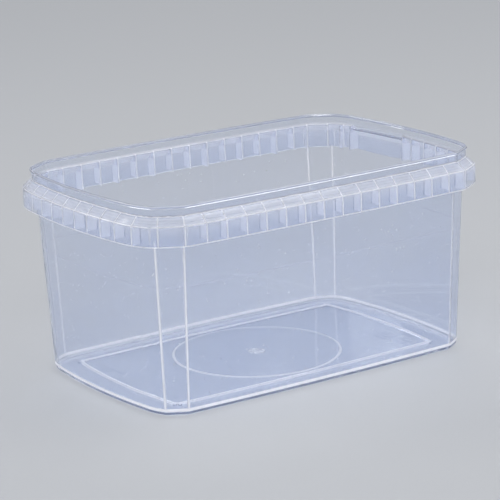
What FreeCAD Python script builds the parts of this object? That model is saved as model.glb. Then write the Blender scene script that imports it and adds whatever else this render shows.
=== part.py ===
import FreeCAD, Part

import math
import os

from FreeCAD import Placement, Rotation, Vector

# Rectangular packaging tub, thin-walled injection-moulded polypropylene, open
# at the top.  Frame: +Z up, origin at the centre of the footprint on the plane
# that the foot stands on, long side along X.  Millimetres.

doc = FreeCAD.newDocument("packaging_tub")
sheet = doc.addObject("Spreadsheet::Sheet", "dims")
sheet.Label = "dims"

DIMENSIONS = [
    # plan outline, measured on the outer face of the rim bead
    ("half_length", 100.0),
    ("long_side_turn", 2.2),
    ("bend_one_turn", 26.0),
    ("facet_turn", 9.7),
    ("bend_two_turn", 21.7),
    ("haunch_turn", 23.2),
    ("facet_arc", 13.2),
    ("haunch_arc", 13.9),
    ("end_arc", 42.8),
    ("bend_radius", 4.5),
    # rim: bead, neck, sloping ledge and hanging skirt
    ("tub_height", 102.3),
    ("bead_depth", 1.7),
    ("neck_inset", 0.7),
    ("neck_thickness", 0.8),
    ("ledge_drop", 5.1),
    ("ledge_fall", 3.2),
    ("ledge_crown", 1.5),
    ("ledge_swell", 0.2),
    ("skirt_overhang", 3.9),
    ("skirt_thickness", 0.8),
    ("skirt_height", 18.5),
    # wall and floor
    ("wall_inset_top", 2.0),
    ("wall_inset_foot", 6.7),
    ("wall_thickness", 0.8),
    ("witness_height", 63.0),
    ("witness_step", 0.12),
    ("heel_radius", 1.5),
    ("floor_thickness", 1.0),
    ("panel_inset", 21.0),
    ("panel_rise", 0.6),
    ("ridge_width", 0.9),
    ("ridge_height", 0.45),
    ("ridge_overrun", 3.2),
    ("disc_radius", 42.1),
    ("disc_rise", 0.3),
    ("gate_radius", 4.8),
    ("gate_rise", 0.35),
    ("mark_rise", 0.2),
    # ribs between wall and skirt
    ("rib_pitch", 10.85),
    ("rib_thickness", 0.7),
    ("rib_short", 1.7),
    # tear-tab bay on one end
    ("bay_near", 2.5),
    ("bay_far", 44.0),
    ("bay_drop", 1.6),
    ("tab_dip", 0.9),
]

for row, (alias, value) in enumerate(DIMENSIONS, start=1):
    sheet.set("A%d" % row, alias)
    sheet.set("B%d" % row, "%g" % value)
    sheet.setAlias("B%d" % row, alias)
doc.recompute()


def dim(alias):
    """Read one driving dimension back from the sheet."""
    return float(sheet.get(alias))


# ---------------------------------------------------------------- plan outline

def chord(radius, turn, heading):
    """Displacement along an arc that turns clockwise from a heading."""
    return Vector(
        radius * (math.sin(heading) - math.sin(heading - turn)),
        radius * (math.cos(heading - turn) - math.cos(heading)),
        0.0,
    )


def face_circles():
    """Centres and radii of the four faces in one quadrant of the bead line.

    The outline runs clockwise from the middle of the long side: a nearly
    straight long face, a tight bend, a short corner facet, a second tight
    bend, a haunch that turns quickly and a gently bowed end.
    """
    turn_long = math.radians(dim("long_side_turn"))
    turns = [
        math.radians(dim("bend_one_turn")),
        math.radians(dim("facet_turn")),
        math.radians(dim("bend_two_turn")),
        math.radians(dim("haunch_turn")),
    ]
    turns.append(math.pi / 2 - turn_long - sum(turns))
    radii = [
        dim("bend_radius"),
        dim("facet_arc") / turns[1],
        dim("bend_radius"),
        dim("haunch_arc") / turns[3],
        dim("end_arc") / turns[4],
    ]
    heading = -turn_long
    rest = Vector()
    for radius, turn in zip(radii, turns):
        rest += chord(radius, turn, heading)
        heading -= turn
    radius_long = (dim("half_length") - rest.x) / math.sin(turn_long)
    start = chord(radius_long, turn_long, 0.0)
    half_width = -(start.y + rest.y)
    circles = [(Vector(0.0, half_width - radius_long, 0.0), radius_long)]
    point = Vector(0.0, half_width, 0.0) + start
    heading = -turn_long
    for index, (radius, turn) in enumerate(zip(radii, turns)):
        centre = point + Vector(math.sin(heading), -math.cos(heading), 0.0) * radius
        if index in (1, 3, 4):
            circles.append((centre, radius))
        point += chord(radius, turn, heading)
        heading -= turn
    return circles, half_width


CIRCLES, HALF_WIDTH = face_circles()


def blend_centre(first, second, radius):
    """Centre of a bend of one radius that touches two face circles inside."""
    (c1, r1), (c2, r2) = first, second
    d1, d2 = r1 - radius, r2 - radius
    span = c2.sub(c1)
    gap = span.Length
    along = (gap * gap + d1 * d1 - d2 * d2) / (2.0 * gap)
    across = math.sqrt(d1 * d1 - along * along)
    unit = Vector(span).normalize()
    side = Vector(-unit.y, unit.x, 0.0)
    options = [c1 + unit * along + side * (across * sign) for sign in (1, -1)]
    return max(options, key=lambda spot: spot.x + spot.y)


def bearing(centre, spot):
    """Angle of a point seen from a centre."""
    return math.atan2(spot.y - centre.y, spot.x - centre.x)


def quadrant(offset, radius, facet=True):
    """Arcs of the first quadrant, anticlockwise from the end to the long side."""
    long_face, facet_face, haunch, end = [(c, r + offset) for c, r in CIRCLES]
    faces = [haunch, facet_face, long_face] if facet else [haunch, long_face]
    joint = bearing(end[0], haunch[0] + (haunch[0].sub(end[0])))
    arcs = [(end[0], end[1], 0.0, joint)]
    begin = joint
    for here, there in zip(faces, faces[1:]):
        centre = blend_centre(here, there, radius)
        leave = bearing(here[0], centre)
        arrive = bearing(there[0], centre)
        arcs.append((here[0], here[1], begin, leave))
        arcs.append((centre, radius, leave, arrive))
        begin = arrive
    arcs.append((long_face[0], long_face[1], begin, math.pi / 2))
    return arcs


def outline(offset, radius=None, facet=True):
    """Closed plan outline, offset outwards from the bead's outer face."""
    if radius is None:
        radius = dim("bend_radius") + offset
    arcs = quadrant(offset, radius, facet)
    end, inner, side = arcs[0], arcs[1:-1], arcs[-1]

    def mirror_x(arc):
        centre, r, a0, a1 = arc
        return Vector(-centre.x, centre.y, 0.0), r, math.pi - a1, math.pi - a0

    def turn_half(arc):
        centre, r, a0, a1 = arc
        return centre * -1.0, r, a0 + math.pi, a1 + math.pi

    upper = [(end[0], end[1], -end[3], end[3])]
    upper += inner
    upper += [(side[0], side[1], side[2], math.pi - side[2])]
    upper += [mirror_x(arc) for arc in reversed(inner)]
    return upper + [turn_half(arc) for arc in upper]


def level_sketch(name, offset, height, radius=None, facet=True):
    """Sketch of one outline at a height that is bound to the sheet."""
    sketch = doc.addObject("Sketcher::SketchObject", name)
    for centre, r, a0, a1 in outline(offset, radius, facet):
        circle = Part.Circle(centre, Vector(0, 0, 1), r)
        sketch.addGeometry(Part.ArcOfCircle(circle, a0, a1), False)
    sketch.setExpression("Placement.Base.z", height)
    return sketch


def stack(name, levels):
    """Ruled solid through a stack of outlines (offset, height, radius)."""
    loft = doc.addObject("Part::Loft", name)
    loft.Sections = [
        level_sketch("%s_level_%02d" % (name, index), *level)
        for index, level in enumerate(levels)
    ]
    loft.Solid = True
    loft.Ruled = True
    return loft


def prism(name, offset, radius, base, depth, facet=True):
    """Straight extrusion of one outline."""
    body = doc.addObject("Part::Extrusion", name)
    body.Base = level_sketch(name + "_outline", offset, base, radius, facet)
    body.Dir = Vector(0, 0, 1)
    body.DirMode = "Custom"
    body.Solid = True
    body.setExpression("LengthFwd", depth)
    return body


def cut(name, base, tool):
    feature = doc.addObject("Part::Cut", name)
    feature.Base = base
    feature.Tool = tool
    return feature


def common(name, base, tool):
    feature = doc.addObject("Part::Common", name)
    feature.Base = base
    feature.Tool = tool
    return feature


def fuse(name, shapes):
    feature = doc.addObject("Part::MultiFuse", name)
    feature.Shapes = shapes
    return feature


# ------------------------------------------------------------- shell sections

def shell(tag, drop):
    """Whole shell without floor details; `drop` lowers the ledge, in mm."""
    neck = -dim("neck_inset")
    skirt = dim("skirt_overhang")
    thick = dim("skirt_thickness")
    crown = dim("ledge_crown")
    fall = dim("ledge_fall")
    # unit normal of the sloping ledge, seen in section
    run = skirt - 0.65 * crown - neck
    slope = math.hypot(run, fall)
    nx, nz = fall / slope, run / slope
    bottom = "dims.tub_height - dims.skirt_height"
    ledge = "dims.tub_height - dims.ledge_drop - %g" % drop
    top = "dims.tub_height"
    low = ledge + " - dims.ledge_fall"
    middle = low + " + dims.ledge_fall * 0.5 + dims.ledge_swell"
    halfway = 0.5 * (skirt - 0.65 * crown + neck)
    rim_levels = [
        (skirt - 0.15, bottom),
        (skirt, bottom + " + 0.3"),
        (skirt, low + " - dims.ledge_crown"),
        (skirt - 0.10 * crown, low + " - dims.ledge_crown * 0.55"),
        (skirt - 0.32 * crown, low + " - dims.ledge_crown * 0.22"),
        (skirt - 0.65 * crown, low),
        (halfway, middle),
        (neck + 0.25, ledge + " - 0.12"),
        (neck, ledge + " + 0.15"),
        (neck, top + " - dims.bead_depth"),
        (-0.45, top + " - dims.bead_depth * 0.82"),
        (-0.10, top + " - dims.bead_depth * 0.66"),
        (0.0, top + " - dims.bead_depth * 0.48"),
        (-0.08, top + " - dims.bead_depth * 0.24"),
        (-0.30, top + " - dims.bead_depth * 0.08"),
        (-0.65, top),
    ]
    rim = stack("rim_" + tag, rim_levels)
    under_levels = [
        (skirt - thick + 0.1, bottom + " - 0.5"),
        (skirt - thick, low + " - dims.ledge_crown"),
        (skirt - 0.65 * crown - thick * nx, low + " - %g" % (thick * nz)),
        (halfway - thick * nx, middle + " - %g" % (thick * nz)),
        (neck - thick * nx, ledge + " - %g" % (thick * nz)),
    ]
    under = stack("rim_under_" + tag, under_levels)
    half = 0.5 * thick
    web_levels = [
        (skirt - half, bottom + " - 0.5"),
        (skirt - half, low + " - dims.ledge_crown"),
        (skirt - 0.65 * crown - half * nx, low + " - %g" % (half * nz)),
        (halfway - half * nx, middle + " - %g" % (half * nz)),
        (neck - half * nx, ledge + " - %g" % (half * nz)),
    ]
    web = stack("web_reach_" + tag, web_levels)
    cap = cut("rim_cap_" + tag, rim, under)
    webs = common("webs_" + tag, rib_slabs(tag, bottom), web)
    wall_top = dim("wall_inset_top")
    foot = dim("wall_inset_foot")
    heel = dim("heel_radius")
    bend_top = dim("bend_radius") - wall_top
    bend_foot = bend_top - 0.3
    share = dim("witness_height") / dim("tub_height")
    mid = foot + (wall_top - foot) * share - dim("witness_step")
    wall_levels = [
        (-foot - heel, "0", bend_foot - 0.6),
        (-foot - 0.45 * heel, "dims.heel_radius * 0.2", bend_foot - 0.3),
        (-foot - 0.12 * heel, "dims.heel_radius * 0.55", bend_foot),
        (-foot, "dims.heel_radius * 1.15", bend_foot),
        (-mid, "dims.witness_height", bend_top),
        (-wall_top, ledge + " - 0.45", bend_top),
    ]
    wall = stack("wall_" + tag, wall_levels)
    inside = dim("wall_thickness")
    tight = bend_top - inside
    floor = "dims.floor_thickness"
    cavity_levels = [
        (-foot - inside - 1.5 * heel, floor, tight - 0.4),
        (-foot - inside - 0.75 * heel, floor + " + dims.heel_radius * 0.2", tight - 0.2),
        (-foot - inside - 0.25 * heel, floor + " + dims.heel_radius * 0.65", tight - 0.1),
        (-foot - inside, floor + " + dims.heel_radius * 1.5", tight),
        (-wall_top - inside, ledge + " - 0.3", tight),
        (neck - dim("neck_thickness"), ledge + " + 0.6", None),
        (neck - dim("neck_thickness"), top + " - dims.bead_depth * 0.35", None),
        (neck - 0.8 * dim("neck_thickness"), top + " - dims.bead_depth * 0.1", None),
        (neck - 0.5 * dim("neck_thickness"), top, None),
        (neck - 0.5 * dim("neck_thickness"), top + " + 1", None),
    ]
    cavity = stack("cavity_" + tag, cavity_levels)
    solid = fuse("shell_solid_" + tag, [cap, webs, wall])
    return cut("shell_" + tag, solid, cavity)


# ----------------------------------------------------------------------- ribs

def rib_stations():
    """Plan point, outward bearing and length class of every rib."""
    pitch = dim("rib_pitch")
    (c_long, r_long), (c_facet, r_facet), (c_haunch, r_haunch), (c_end, r_end) = CIRCLES
    quarter = []
    for index in range(7):
        x = pitch * (index + 0.5)
        angle = math.acos(x / r_long)
        quarter.append((c_long, r_long, angle, index % 2 == 1))
    # one rib where the facet meets the long side's bend, one near its other end
    corner = quadrant(0.0, dim("bend_radius"))
    centre, radius, begin, finish = corner[4]
    quarter.append((centre, radius, begin + 0.20 * (finish - begin), True))
    centre, radius, begin, finish = corner[3]
    quarter.append((centre, radius, begin + 0.15 * (finish - begin), False))
    joint = corner[0][3]
    for index in range(5):
        y = pitch * (index + 0.5)
        angle = math.asin(y / r_end)
        if angle <= joint:
            quarter.append((c_end, r_end, angle, index % 2 == 0))
        else:
            quarter.append((c_haunch, r_haunch, math.asin((y - c_haunch.y) / r_haunch), index % 2 == 0))
    stations = []
    for centre, radius, angle, full in quarter:
        normal = Vector(math.cos(angle), math.sin(angle), 0.0)
        spot = centre + normal * radius
        for sx in (1, -1):
            for sy in (1, -1):
                point = Vector(spot.x * sx, spot.y * sy, 0.0)
                facing = math.degrees(math.atan2(normal.y * sy, normal.x * sx))
                stations.append((point, facing, full))
    return stations


def in_bay(point):
    """True where the tear-tab bay leaves the ribs out."""
    near, far = dim("bay_near") - 1.0, dim("bay_far") + 6.0
    return point.x > 0.8 * dim("half_length") and near < point.y < far


def rib_slab(name, point, facing, full, bottom):
    """Upright slab across the gap between the wall and the skirt."""
    slab = doc.addObject("Part::Box", name)
    slab.setExpression("Length", "dims.skirt_overhang + dims.wall_inset_foot")
    slab.setExpression("Width", "dims.rib_thickness")
    slab.setExpression("Height", "dims.skirt_height")
    turn = Rotation(Vector(0, 0, 1), facing)
    corner = turn.multVec(Vector(-dim("wall_inset_foot"), -0.5 * dim("rib_thickness"), 0.0))
    slab.Placement = Placement(point + corner, turn)
    lift = " + 0.35" if full else " + dims.rib_short"
    slab.setExpression("Placement.Base.z", bottom + lift)
    return slab


def rib_slabs(tag, bottom):
    """All ribs of one shell, with the two end webs of the bay."""
    (c_haunch, r_haunch), (c_end, r_end) = CIRCLES[2:]
    slabs = []
    for index, (point, facing, full) in enumerate(rib_stations()):
        if in_bay(point):
            continue
        slabs.append(rib_slab("rib_%s_%02d" % (tag, index), point, facing, full, bottom))
    near, far = dim("bay_near"), dim("bay_far")
    angle = math.asin(near / r_end)
    spot = c_end + Vector(math.cos(angle), math.sin(angle), 0.0) * r_end
    slabs.append(rib_slab("bay_near_web_" + tag, spot, 0.0, True, bottom))
    angle = math.asin((far - c_haunch.y) / r_haunch)
    spot = c_haunch + Vector(math.cos(angle), math.sin(angle), 0.0) * r_haunch
    slabs.append(rib_slab("bay_far_web_" + tag, spot, 0.0, True, bottom))
    angle = math.asin((far + 7.4 - c_haunch.y) / r_haunch)
    normal = Vector(math.cos(angle), math.sin(angle), 0.0)
    spot = c_haunch + normal * r_haunch
    slabs.append(rib_slab("bay_outer_rib_" + tag, spot, math.degrees(angle), True, bottom))
    return fuse("ribs_" + tag, slabs)


shell_full = shell("full", 0.0)
shell_bay = shell("bay", dim("bay_drop"))

# the bay is a window in the rim where the lowered ledge takes over
bay_box = doc.addObject("Part::Box", "bay_box")
bay_box.setExpression("Length", "dims.half_length * 0.4")
bay_box.setExpression("Width", "dims.bay_far - dims.bay_near - dims.rib_thickness")
bay_box.setExpression("Height", "dims.skirt_height + 2")
bay_box.setExpression("Placement.Base.x", "dims.half_length * 0.8")
bay_box.setExpression("Placement.Base.y", "dims.bay_near + dims.rib_thickness * 0.5")
bay_box.setExpression("Placement.Base.z", "dims.tub_height - dims.skirt_height - 1")

outside_bay = cut("shell_outside_bay", shell_full, bay_box)
inside_bay = common("shell_inside_bay", shell_bay, bay_box)

# ---------------------------------------------------------------------- floor

panel_line = -dim("panel_inset")
recess = prism("foot_recess", panel_line, 2.0, "-1", "dims.panel_rise + 1", facet=False)
panel = prism(
    "floor_panel", panel_line + 0.6, 2.4,
    "dims.floor_thickness * 0.6", "dims.panel_rise + dims.floor_thickness * 0.4",
    facet=False,
)
ridge_outer = prism(
    "ridge_outer", panel_line + 0.5 * dim("ridge_width") + 0.3, 1.6,
    "dims.floor_thickness", "dims.panel_rise + dims.ridge_height", facet=False,
)
ridge_inner = prism(
    "ridge_inner", panel_line - 0.5 * dim("ridge_width") + 0.3, 0.9,
    "dims.floor_thickness * 0.5", "dims.panel_rise + dims.ridge_height + 2", facet=False,
)
ridge = cut("floor_ridge", ridge_outer, ridge_inner)

disc = doc.addObject("Part::Cylinder", "floor_disc")
disc.setExpression("Radius", "dims.disc_radius")
disc.setExpression("Height", "dims.disc_rise + 0.2")
disc.setExpression("Placement.Base.z", "dims.floor_thickness + dims.panel_rise - 0.2")

gate = doc.addObject("Part::Cone", "gate_mark")
gate.setExpression("Radius1", "dims.gate_radius")
gate.setExpression("Radius2", "dims.gate_radius * 0.82")
gate.setExpression("Height", "dims.gate_rise + 0.1")
gate.setExpression(
    "Placement.Base.z", "dims.floor_thickness + dims.panel_rise + dims.disc_rise - 0.1"
)

gate_nub = doc.addObject("Part::Cylinder", "gate_nub")
gate_nub.Radius = 1.2
gate_nub.setExpression("Height", "dims.panel_rise * 0.8")
gate_nub.setExpression("Placement.Base.z", "dims.panel_rise * 0.3")


def ridge_ticks():
    """Short runs of the ridge past each corner of the floor panel."""
    arcs = quadrant(panel_line + 0.3, 1.2, facet=False)
    centre, radius, leave, arrive = arcs[2]
    ticks = []
    for name, angle, heading in (("long", arrive, 0.0), ("end", leave, 90.0)):
        spot = centre + Vector(math.cos(angle), math.sin(angle), 0.0) * radius
        tangent = math.degrees(angle) - 90.0 if name == "long" else math.degrees(angle) + 90.0
        for sx in (1, -1):
            for sy in (1, -1):
                tick = doc.addObject("Part::Box", "tick_%s_%d_%d" % (name, sx > 0, sy > 0))
                tick.setExpression("Length", "dims.ridge_overrun")
                tick.setExpression("Width", "dims.ridge_width")
                tick.setExpression("Height", "dims.ridge_height + dims.panel_rise")
                way = math.radians(tangent)
                facing = math.degrees(math.atan2(math.sin(way) * sy, math.cos(way) * sx))
                turn = Rotation(Vector(0, 0, 1), facing)
                corner = turn.multVec(Vector(-0.3, -0.5 * dim("ridge_width"), 0.0))
                tick.Placement = Placement(Vector(spot.x * sx, spot.y * sy, 0.0) + corner, turn)
                tick.setExpression("Placement.Base.z", "dims.floor_thickness * 0.9")
                ticks.append(tick)
    return ticks


def floor_marks():
    """Plain raised bars and dots near the ends of the floor panel."""
    length, width = dim("panel_inset") * 3.4, dim("panel_inset")
    bars = [
        ("bar_long", -length, 0.62 * width, 1.3, 21.0),
        ("bar_short", -length - 3.2, 0.98 * width, 1.3, 7.0),
        ("bar_mid", -length, -1.72 * width, 1.3, 15.0),
        ("bar_far", 0.88 * length, -1.80 * width, 1.3, 5.5),
        ("bar_far_two", 0.94 * length, -1.86 * width, 1.3, 6.5),
        ("bar_tiny", 0.92 * length, 1.35 * width, 2.2, 2.2),
    ]
    marks = []
    for name, x, y, wide, run in bars:
        bar = doc.addObject("Part::Box", name)
        bar.Length = wide
        bar.Width = run
        bar.setExpression("Height", "dims.mark_rise + 0.2")
        bar.Placement.Base = Vector(x, y, 0.0)
        marks.append(bar)
    for column in range(3):
        for line in range(4):
            dot = doc.addObject("Part::Cylinder", "dot_%d_%d" % (column, line))
            dot.Radius = 0.8
            dot.setExpression("Height", "dims.mark_rise + 0.2")
            dot.Placement.Base = Vector(0.86 * length + 3.0 * column, (-1.22 + 0.14 * line) * width, 0.0)
            marks.append(dot)
    for mark in marks:
        mark.setExpression(
            "Placement.Base.z", "dims.floor_thickness + dims.panel_rise - 0.2"
        )
    return marks


# tab lip: the free edge of the bay's skirt dips in a shallow curve
lip_outer = prism(
    "lip_outer", dim("skirt_overhang") - 0.05, None,
    "dims.tub_height - dims.skirt_height - dims.tab_dip", "dims.tab_dip + 0.8",
)
lip_inner = prism(
    "lip_inner", dim("skirt_overhang") - dim("skirt_thickness") + 0.05, None,
    "dims.tub_height - dims.skirt_height - dims.tab_dip - 1", "dims.tab_dip + 3",
)
lip_ring = cut("lip_ring", lip_outer, lip_inner)
half_bay = 0.5 * (dim("bay_far") - dim("bay_near")) - 2.0
lip_radius = (half_bay ** 2 + dim("tab_dip") ** 2) / (2.0 * dim("tab_dip"))
lip_drum = doc.addObject("Part::Cylinder", "lip_drum")
lip_drum.Radius = lip_radius
lip_drum.setExpression("Height", "dims.half_length * 0.4")
lip_drum.Placement = Placement(
    Vector(
        0.8 * dim("half_length"),
        0.5 * (dim("bay_near") + dim("bay_far")),
        dim("tub_height") - dim("skirt_height") - dim("tab_dip") + lip_radius,
    ),
    Rotation(Vector(0, 1, 0), 90),
)
lip = common("tab_lip", lip_ring, lip_drum)

rim_joined = fuse("shell_joined", [outside_bay, inside_bay])
rim_lipped = fuse("shell_lipped", [rim_joined, lip])
floor_core = fuse("floor_core", [panel, ridge, disc, gate])
floor_all = fuse("floor_all", [floor_core] + ridge_ticks() + floor_marks())
raised = fuse("tub_raised", [rim_lipped, floor_all])
recessed = cut("tub_recessed", raised, recess)
tub = fuse("tub", [recessed, gate_nub])
tub.Refine = True
tub.Label = "tub"

doc.recompute()

# --------------------------------------------------------------------- output

failed = [item.Name for item in doc.Objects if "Invalid" in item.State or "Error" in item.State]
if failed:
    raise RuntimeError("features failed: %s" % ", ".join(failed))

os.makedirs("parts", exist_ok=True)
for node in (tub,):
    shape = node.Shape
    if shape.isNull() or not shape.isValid() or len(shape.Solids) != 1:
        raise RuntimeError("%s is not one valid solid: %d" % (node.Label, len(shape.Solids)))
    shape.exportStep("parts/%s.step" % node.Label)
    box = shape.BoundBox
    print(node.Label, "volume %.0f mm3" % shape.Volume, "faces", len(shape.Faces))
    print("size %.1f x %.1f x %.1f, base z %.3f" % (box.XLength, box.YLength, box.ZLength, box.ZMin))
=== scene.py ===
"""Studio scene of an empty, clear polypropylene food tub.

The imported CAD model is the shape.  This script gives it its material, a pale
floor, soft lamps and the camera.  Everything is in metres, in the model's
own frame: +X along the tub, +Z up, origin under its middle on the floor.
"""

import logging
import math
from dataclasses import dataclass
from enum import Enum

import bpy
from mathutils import Matrix, Vector


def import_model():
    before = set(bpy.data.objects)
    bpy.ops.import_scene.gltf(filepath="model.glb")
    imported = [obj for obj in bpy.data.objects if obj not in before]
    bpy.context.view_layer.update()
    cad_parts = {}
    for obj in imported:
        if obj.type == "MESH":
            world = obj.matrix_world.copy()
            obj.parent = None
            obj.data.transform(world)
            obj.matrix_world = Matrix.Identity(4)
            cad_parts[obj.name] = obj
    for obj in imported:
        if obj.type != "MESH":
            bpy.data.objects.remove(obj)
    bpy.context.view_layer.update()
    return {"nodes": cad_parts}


LOG = logging.getLogger("packaging_tub")

BOUNCES = 24  # light has to pass many thin walls
EDGE = 1e-4  # step, in metres, that masks are kept off surfaces and fade over

Socket = bpy.types.NodeSocket
Colour = tuple[float, float, float]
Point = tuple[float, float, float]
Spot = tuple[float, float, float, float]  # plan point and outward normal


class Space(Enum):
    """Space that a noise is made in."""

    LINE = "1D"
    VOLUME = "3D"


@dataclass(frozen=True)
class PlanLine:
    """A straight edge of the plan outline, in the quadrant of +X and +Y.

    Attributes:
        x: Outward normal along X.
        y: Outward normal along Y.
        reach: Distance of the line from the origin.
    """

    x: float
    y: float
    reach: float


@dataclass(frozen=True)
class PlanArc:
    """A slow arc of the plan outline, in the quadrant of +X and +Y.

    Attributes:
        x: Centre along X.
        y: Centre along Y.
        radius: Radius at the outer face of the rim bead.
        start: Heading of the outline where the arc begins, in radians.
        turn: Angle that it turns through, in radians.
    """

    x: float
    y: float
    radius: float
    start: float
    turn: float

    def tangent(self, share: float) -> PlanLine:
        """Tangent of the arc.

        Args:
            share: Place along the arc, from 0 to 1.

        Returns:
            The line that touches it there.
        """
        heading = self.start - share * self.turn
        x, y = -math.sin(heading), math.cos(heading)
        return PlanLine(x, y, self.x * x + self.y * y + self.radius)

    def spot_at(self, y: float) -> Spot:
        """Point of the arc at one Y, with its outward normal.

        Args:
            y: Place along Y.

        Returns:
            The point and the normal.
        """
        rise = (y - self.y) / self.radius
        normal = math.sqrt(1.0 - rise * rise)
        return self.x + normal * self.radius, y, normal, rise

    def spot(self, share: float) -> Spot:
        """Point of the arc, with its outward normal."""
        line = self.tangent(share)
        return self.x + line.x * self.radius, self.y + line.y * self.radius, line.x, line.y

    def bend(self, other: "PlanArc", radius: float, share: float) -> Spot:
        """Point of the bend between this arc and the next.

        Args:
            other: The next arc.
            radius: Radius of the bend.
            share: Place along the bend, from 0 to 1.

        Returns:
            The point and the outward normal there.
        """
        near, far = self.radius - radius, other.radius - radius
        span = Vector((other.x - self.x, other.y - self.y))
        gap = span.length
        along = (gap * gap + near * near - far * far) / (2.0 * gap)
        across = math.sqrt(near * near - along * along)
        unit = span / gap
        side = Vector((-unit.y, unit.x)) * across
        start = Vector((self.x, self.y)) + unit * along
        centre = max((start + side, start - side), key=sum)
        first = math.atan2(centre.y - self.y, centre.x - self.x)
        last = math.atan2(centre.y - other.y, centre.x - other.x)
        bearing = first + share * (last - first)
        normal = Vector((math.cos(bearing), math.sin(bearing)))
        spot = centre + normal * radius
        return spot.x, spot.y, normal.x, normal.y


@dataclass(frozen=True)
class TubSizes:
    """Sizes of the moulding that its material follows, in metres.

    Heights are above the floor.  Offsets are outwards, in plan, from the outer
    face of the rim bead.  Turns are in degrees, over one quadrant of the outline,
    from the middle of a long side to the middle of an end.

    Attributes:
        ledge_top: Height of the ledge at the neck.
        shoulder: Height of the ledge's outer edge.
        foot_fade: Height over which the skirt's haze and rib lines fade.
        wall_fade: Height over which the wall's lines weaken behind the skirt.
        panel_line: Offset of the ridge round the floor panel.
        long_ribs: How many ribs stand evenly on a long side, from its middle on.
        end_ribs: The same on an end.
        bend_rib: Place of one corner rib, along the bend at the long side.
        facet_rib: Place of the other one, along the facet.
        bay_start: X that the tear-tab bay lies beyond.
        bay_near: Y where it begins.
        bay_far: Y where it ends.
        facet_arc: Length of the facet.
        haunch_arc: Length of the haunch.
        end_arc: Length of half the end.
    """

    height: float = 0.1023
    bead_foot: float = 0.1006
    neck_offset: float = -0.0007
    neck_in: float = -0.0015
    ledge_top: float = 0.0972
    shoulder: float = 0.0937
    skirt_foot: float = 0.0838
    skirt_in: float = 0.0031
    foot_fade: float = 0.001
    wall_out_top: float = -0.0020
    wall_in_top: float = -0.0028
    wall_fade: float = 0.003
    crease_begin: float = 0.0012
    crease_full: float = 0.0030
    heel_offset: float = -0.0082
    heel_full: float = 0.0004
    heel_end: float = 0.0009
    witness: float = 0.0630
    flow_line: float = 0.0230
    panel_low: float = 0.0008
    panel_reach: float = 0.0032
    panel_line: float = -0.0207
    ridge_top: float = 0.0020
    disc_radius: float = 0.0421
    gate_radius: float = 0.0048
    rib_pitch: float = 0.01085
    rib_thickness: float = 0.0007
    long_ribs: int = 7
    end_ribs: int = 4
    bend_rib: float = 0.80
    facet_rib: float = 0.85
    bay_start: float = 0.080
    bay_near: float = 0.0025
    bay_far: float = 0.0440
    half_length: float = 0.1000
    long_turn: float = 2.2
    bend_one_turn: float = 26.0
    facet_turn: float = 9.7
    bend_two_turn: float = 21.7
    haunch_turn: float = 23.2
    bend_radius: float = 0.0045
    facet_arc: float = 0.0132
    haunch_arc: float = 0.0139
    end_arc: float = 0.0428

    def plan(self) -> tuple[PlanArc, PlanArc, PlanArc, PlanArc]:
        """Work out the slow arcs of one quadrant of the outline.

        Returns:
            The long side, corner facet, haunch and end.
        """
        long_turn = math.radians(self.long_turn)
        turns = [
            math.radians(t)
            for t in (self.bend_one_turn, self.facet_turn, self.bend_two_turn, self.haunch_turn)
        ]
        turns.append(math.pi / 2 - long_turn - sum(turns))
        radii = [
            self.bend_radius,
            self.facet_arc / turns[1],
            self.bend_radius,
            self.haunch_arc / turns[3],
            self.end_arc / turns[4],
        ]
        heading = -long_turn
        rest = Vector((0.0, 0.0))
        for radius, turn in zip(radii, turns):
            rest += self._chord(radius, turn, heading)
            heading -= turn
        long_radius = (self.half_length - rest.x) / math.sin(long_turn)
        start = self._chord(long_radius, long_turn, 0.0)
        half_width = -(start.y + rest.y)
        arcs = [PlanArc(0.0, half_width - long_radius, long_radius, 0.0, long_turn)]
        point = Vector((0.0, half_width)) + start
        heading = -long_turn
        for radius, turn in zip(radii, turns):
            centre = point + Vector((math.sin(heading), -math.cos(heading))) * radius
            arcs.append(PlanArc(centre.x, centre.y, radius, heading, turn))
            point += self._chord(radius, turn, heading)
            heading -= turn
        return arcs[0], arcs[2], arcs[4], arcs[5]

    @staticmethod
    def _chord(radius: float, turn: float, heading: float) -> Vector:
        """Displacement along an arc that turns clockwise.

        Args:
            radius: Radius of the arc.
            turn: Angle that it turns through.
            heading: Heading where it begins.

        Returns:
            From its begin to its end.
        """
        return Vector(
            (
                radius * (math.sin(heading) - math.sin(heading - turn)),
                radius * (math.cos(heading - turn) - math.cos(heading)),
            )
        )


@dataclass(frozen=True)
class Stroke:
    """How one line shows: a painted highlight along an edge, or a mould or flow line.

    Attributes:
        share: Share that is milky; for the edge lines this is a painted highlight.
        half: Half width at full strength, in metres.
        soft: Width over which it fades, in metres.
    """

    share: float
    half: float
    soft: float


@dataclass(frozen=True)
class Grain:
    """One noise, and how it is spread out.

    Attributes:
        scale: Texture scale.
        detail: Octaves.
        low: Noise value that gives the first result.
        high: Noise value that gives the second result.
    """

    scale: float
    detail: float
    low: float
    high: float


@dataclass(frozen=True)
class Dots:
    """Scattered dots, one in some of the cells of a Voronoi texture.

    Attributes:
        share: Share that a dot scatters.
        scale: Texture scale.
        reach: Radius of a dot, as a share of a cell.
        rare: Share of the cells that stay empty.
    """

    share: float
    scale: float
    reach: float
    rare: float


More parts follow.
